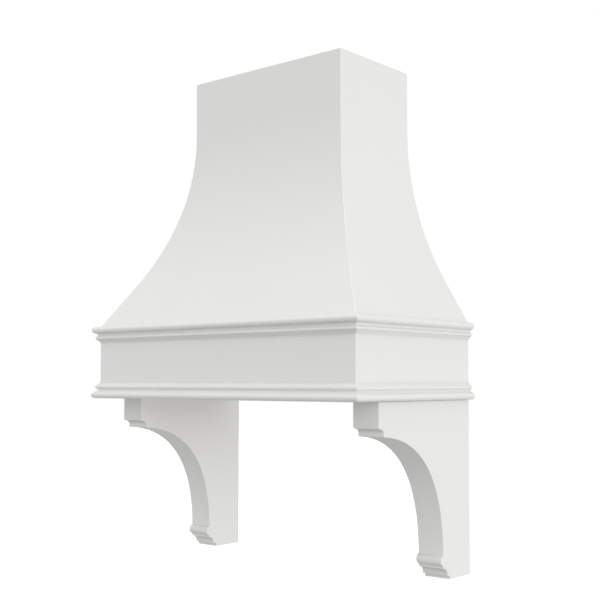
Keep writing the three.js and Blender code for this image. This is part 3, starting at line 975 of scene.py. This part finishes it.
# The axis that each board is thin along, the axis its grain runs along, and its wood
boards = {
    "platform": ("z", "x", "ply"),
    "apron_back": ("y", "x", "ply"),
    "base_rail_front": ("z", "x", "ply"),
    "top_rail_front": ("z", "x", "ply"),
    "top_rail_back": ("z", "x", "ply"),
    "upper_back_rail": ("y", "x", "ply"),
    "duct_shelf": ("z", "x", "ply"),
    "hanging_rail": ("y", "x", "poplar"),
    "hood_cleat": ("y", "x", "poplar"),
    "wall_cleat": ("y", "x", "poplar"),
}
for side, word in sides:
    boards[f"base_rail_{word}"] = ("z", "y", "ply")
    boards[f"top_rail_{word}"] = ("z", "y", "ply")
    boards[f"back_rib_{word}"] = ("y", "z", "ply")
    boards[f"side_rib_{word}"] = ("y", "z", "ply")
    boards[f"front_rib_{word}"] = ("x", "z", "ply")
    boards[f"apron_block_{word}"] = ("y", "z", "poplar")
    boards[f"body_block_{word}"] = ("y", "z", "poplar")
for node, (through, along, kind) in boards.items():
    addBoard(node, through, along, kind)
print("inner frame made")

screw = {
    "shank": 2.4,
    "core": 1.75,
    "pitch": 2.6,
    "turnSteps": 8,  # rings in one turn of the thread
    "crestShare": 0.22,  # half the width of the thread's foot, as a share of the pitch
    "tip": 6.0,  # length of the taper
    "point": 0.08,  # its smallest radius
    "neck": 1.2,  # plain shank between the thread and the head
    "sides": 32,
    "joint": 0.3,  # the gap under a round head, and round the shank in a plate
    "panRadius": 5.0,
    "panHeight": 2.8,
    "panEdge": 0.3,  # how far it is eased underneath
    "rimShare": 0.35,  # how much of a round head's height is its upright rim
    "crownShare": 0.45,  # how much of its radius is left at the top
    "domeSteps": 7,
    "flatRadius": 4.4,
    "flatEdge": 0.15,  # a countersunk head's eased rim
    "flatTop": 0.25,
    "recess": 1.7,
    "recessMouth": 1.15,  # the cross is this much larger above the head, and smaller below
    "recessFoot": 0.42,
    "crossArm": 2.5,
    "crossWidth": 0.62,
    "turn": 0.7,  # radians from one screw's cross to the next one's
    "kinds": {  # which way the head faces, and whether it is countersunk
        "rail": ("front", False),
        "cleat": ("front", False),
        "corbel": ("up", False),
        "hanger": ("wall", True),
    },
}


def plateTube(outline, middle, flare=0.0):
    # The plate's edge or a hole through it, wider at the wall by the flare
    h = hanger
    back = h["clearance"]
    rings = []
    for depth, drawn in easedEnds(back, back + h["thickness"], h["edgeEase"], 2):
        share = 1 - (depth - back) / h["thickness"]
        line = inset(outline, drawn + flare * share)
        rings.append([(middle + x, depth, hangerMiddle + height) for x, height in line])
    return rings


def keyhole():
    # Run right-wise, like every hole
    h = hanger
    wide, narrow = h["keyRadius"], h["slotRadius"]
    corner = math.acos(narrow / wide)
    slot = arc(0, h["keyRise"], narrow, narrow, 0, math.pi, h["slotSteps"])
    start, end = math.pi - corner, fullTurn + corner
    return leftWise(slot + arc(0, -h["keyDrop"], wide, wide, start, end, h["keySteps"]))[::-1]


def addHangers():
    h = hanger
    wide, tall = h["width"] / 2, h["height"] / 2
    plate = [(-wide, -tall), (wide, -tall), (wide, tall), (-wide, tall)]
    plate = easeCorners(plate, h["corner"], h["cornerSteps"])
    radius = screw["shank"] + screw["joint"]
    count = h["holeSteps"]
    for side, word in sides:
        middle = side * corbelMiddle
        tubes = [plateTube(plate, middle), plateTube(keyhole(), middle)]
        for end in (-1, 1):
            height = end * (tall - h["screwInset"])
            hole = arc(0, height, radius, radius, fullTurn, fullTurn / count, count - 1)
            tubes.append(plateTube(hole, middle, screw["flatRadius"] - screw["shank"]))
        addPiece(f"zinc_hanger_plate_{word}", loft(tubes), {
            "finishes": [zincSteel], "node": f"hanger_plate_{word}", "slot": "zinc_steel",
        })


def headRings(flat):
    # (height, radius) from under the head to its top
    s = screw
    if flat:
        full, edge = s["flatRadius"], s["flatEdge"]
        return [(-hanger["thickness"], s["shank"]), (-edge, full - edge), (0.0, full - s["flatTop"])]
    top, full, under = s["panHeight"], s["panRadius"], -s["joint"]
    rim, crown = top * s["rimShare"], s["crownShare"]
    rings = [(under, s["shank"]), (under, full - s["panEdge"]), (0.0, full), (rim, full)]
    for i in range(1, s["domeSteps"] + 1):
        angle = quarterTurn * i / s["domeSteps"]
        radius = full * (crown + (1 - crown) * math.cos(angle))
        rings.append((rim + (top - rim) * math.sin(angle), radius))
    return rings


def screwRings(length, flat):
    # (height, radius of each point) from the tip up through the head
    s = screw
    rings = []
    head = headRings(flat)
    threaded = length + head[0][0] - s["neck"]
    count = int(length / s["pitch"] * s["turnSteps"])
    for i in range(count + 1):
        height = -length + threaded * i / count
        taper = min(1.0, (height + length) / s["tip"])
        radii = []
        for k in range(s["sides"]):
            phase = (height / s["pitch"] - k / s["sides"]) % 1
            ridge = max(0.0, 1 - abs(phase - 0.5) / s["crestShare"])
            thread = s["core"] + (s["shank"] - s["core"]) * ridge
            radii.append(max(s["point"], taper * thread))
        rings.append((height, radii))
    return rings + [(height, [radius] * s["sides"]) for height, radius in head]


def crossCutter(stand, top, turn):
    # The driver's cross, narrower towards its foot
    arm, wide = screw["crossArm"], screw["crossWidth"]
    cross = [(arm, -wide), (arm, wide), (wide, wide), (wide, arm), (-wide, arm), (-wide, wide)]
    cross += [(-a, -b) for a, b in cross]
    cosine, sine = math.cos(turn), math.sin(turn)
    ends = ((top + 1, screw["recessMouth"]), (top - screw["recess"], screw["recessFoot"]))
    return loft([[
        [stand(share * (a * cosine - b * sine), share * (a * sine + b * cosine), up) for a, b in cross]
        for up, share in ends
    ]])


def addScrew(node, turn):
    # Stands where the node's box is, its head towards the side that its kind gives
    facing, flat = screw["kinds"][node.split("_")[0]]
    low, high = (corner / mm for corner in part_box(node))
    x, depth, height = (low.x + high.x) / 2, -(low.y + high.y) / 2, (low.z + high.z) / 2
    height += hood["hangHeight"]
    long, top = max(high - low), 0 if flat else screw["panHeight"]
    reach = long / 2 - top  # from the middle to the head's underside
    stand = {
        "up": lambda a, b, up: (x + a, depth - b, height + reach + up),
        "front": lambda a, b, up: (x + a, depth + reach + up, height + b),
        "wall": lambda a, b, up: (x - a, depth - reach - up, height + b),
    }[facing]
    angles = [fullTurn * k / screw["sides"] for k in range(screw["sides"])]
    rings = [
        [stand(r * math.cos(angle), r * math.sin(angle), up) for angle, r in zip(angles, radii)]
        for up, radii in screwRings(long / 2 + reach, flat)
    ]
    addPiece(f"zinc_{node}", cutFrom(loft([rings]), [crossCutter(stand, top, turn)]), {
        "finishes": [zincSteel], "node": node, "slot": "zinc_steel",
    })


def addScrews():
    nodes = sorted(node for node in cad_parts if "_screw_" in node)
    for i, node in enumerate(nodes):
        addScrew(node, screw["turn"] * i)


addHangers()
addScrews()
print("hardware made")

floor = {
    "below": 1.75,  # metres from the hood's underside
    "size": 60.0,  # metres
    "tone": 0.9,
    "roughness": 0.9,
    "glow": 0.35,
}


def addFloor():
    # Plain white paper, which neither shades nor lights the hood
    bm = bmesh.new()
    half = floor["size"] / 2
    level = -hood["hangHeight"] * mm - floor["below"]
    corners = [(-half, -half), (half, -half), (half, half), (-half, half)]
    bm.faces.new([bm.verts.new((x, y, level)) for x, y in corners])
    mesh = bpy.data.meshes.new("floor")
    bm.to_mesh(mesh)
    bm.free()
    paper = bpy.data.objects.new("floor", mesh)
    bpy.context.scene.collection.objects.link(paper)
    paper.visible_diffuse = False
    paper.visible_glossy = False
    paper.visible_shadow = False
    sheet = newFinish("whitePaper")
    sheet.set("Base Color", colour(floor["tone"], floor["tone"], floor["tone"]))
    sheet.set("Roughness", floor["roughness"])
    sheet.set("Emission Color", colour(1, 1, 1))
    sheet.set("Emission Strength", floor["glow"])
    mesh.materials.append(sheet.material)


light = {
    "spread": 5.0,  # higher makes each patch of light smaller
    "patches": {  # where the light comes from, and how strong it is
        (0, 0, 1): 2.52,
        (1, -1, 0): 3.36,
        (1, 1, 0): 1.8,
        (-1, 0, 0): 2.03,
        (0, -1, 1): 0.94,
        (1, 1, -1.4): 0.72,
        (-1, 1, -1.4): 0.87,
    },
}


def addLight():
    # Broad soft patches of light, behind a backdrop that only the camera sees
    world = bpy.data.worlds.new("studio")
    bpy.context.scene.world = world
    world.use_nodes = True
    world.node_tree.nodes.clear()
    sheet = Sheet(world.node_tree)
    where = sheet.node("TexCoord", output="Generated")
    glow = 0
    for direction, strength in light["patches"].items():
        inputs = {0: where, 1: Vector(direction).normalized()}
        facing = sheet.node("VectorMath", {"operation": "DOT_PRODUCT"}, inputs, output="Value")
        facing = sheet.maths("MAXIMUM", facing)
        glow = glow + sheet.maths("POWER", facing, light["spread"]) * strength
    lamp = sheet.node("Background", None, {"Strength": glow})
    backdrop = sheet.node("Background", None, {"Color": colour(1, 1, 1)})
    seen = sheet.node("LightPath", output="Is Camera Ray")
    mixed = sheet.node("MixShader", None, {0: seen, 1: lamp, 2: backdrop})
    sheet.node("OutputWorld", None, {"Surface": mixed})


camera = {
    "picture": 600,  # pixels
    "focal": 1043.4,  # pixels
    "sensor": 36.0,
    "sideways": 40.163,  # degrees round from straight at the wall
    "upwards": 3.5,  # degrees
    "shift": 0.0287,  # as a share of the picture
    "place": (1.9058, -2.4104, -0.6372),  # metres
    "farthest": 200.0,  # metres
}


def addCamera():
    data = bpy.data.cameras.new("camera")
    data.sensor_width = camera["sensor"]
    data.lens = camera["focal"] / camera["picture"] * data.sensor_width
    data.shift_y = camera["shift"]
    data.clip_end = camera["farthest"]
    made = bpy.data.objects.new("camera", data)
    made.location = camera["place"]
    made.rotation_euler = (
        math.radians(90 + camera["upwards"]), 0, math.radians(camera["sideways"]),
    )
    bpy.context.scene.collection.objects.link(made)
    bpy.context.scene.camera = made


addFloor()
addLight()
addCamera()
bpy.context.scene.view_settings.view_transform = "Standard"
print("studio made")
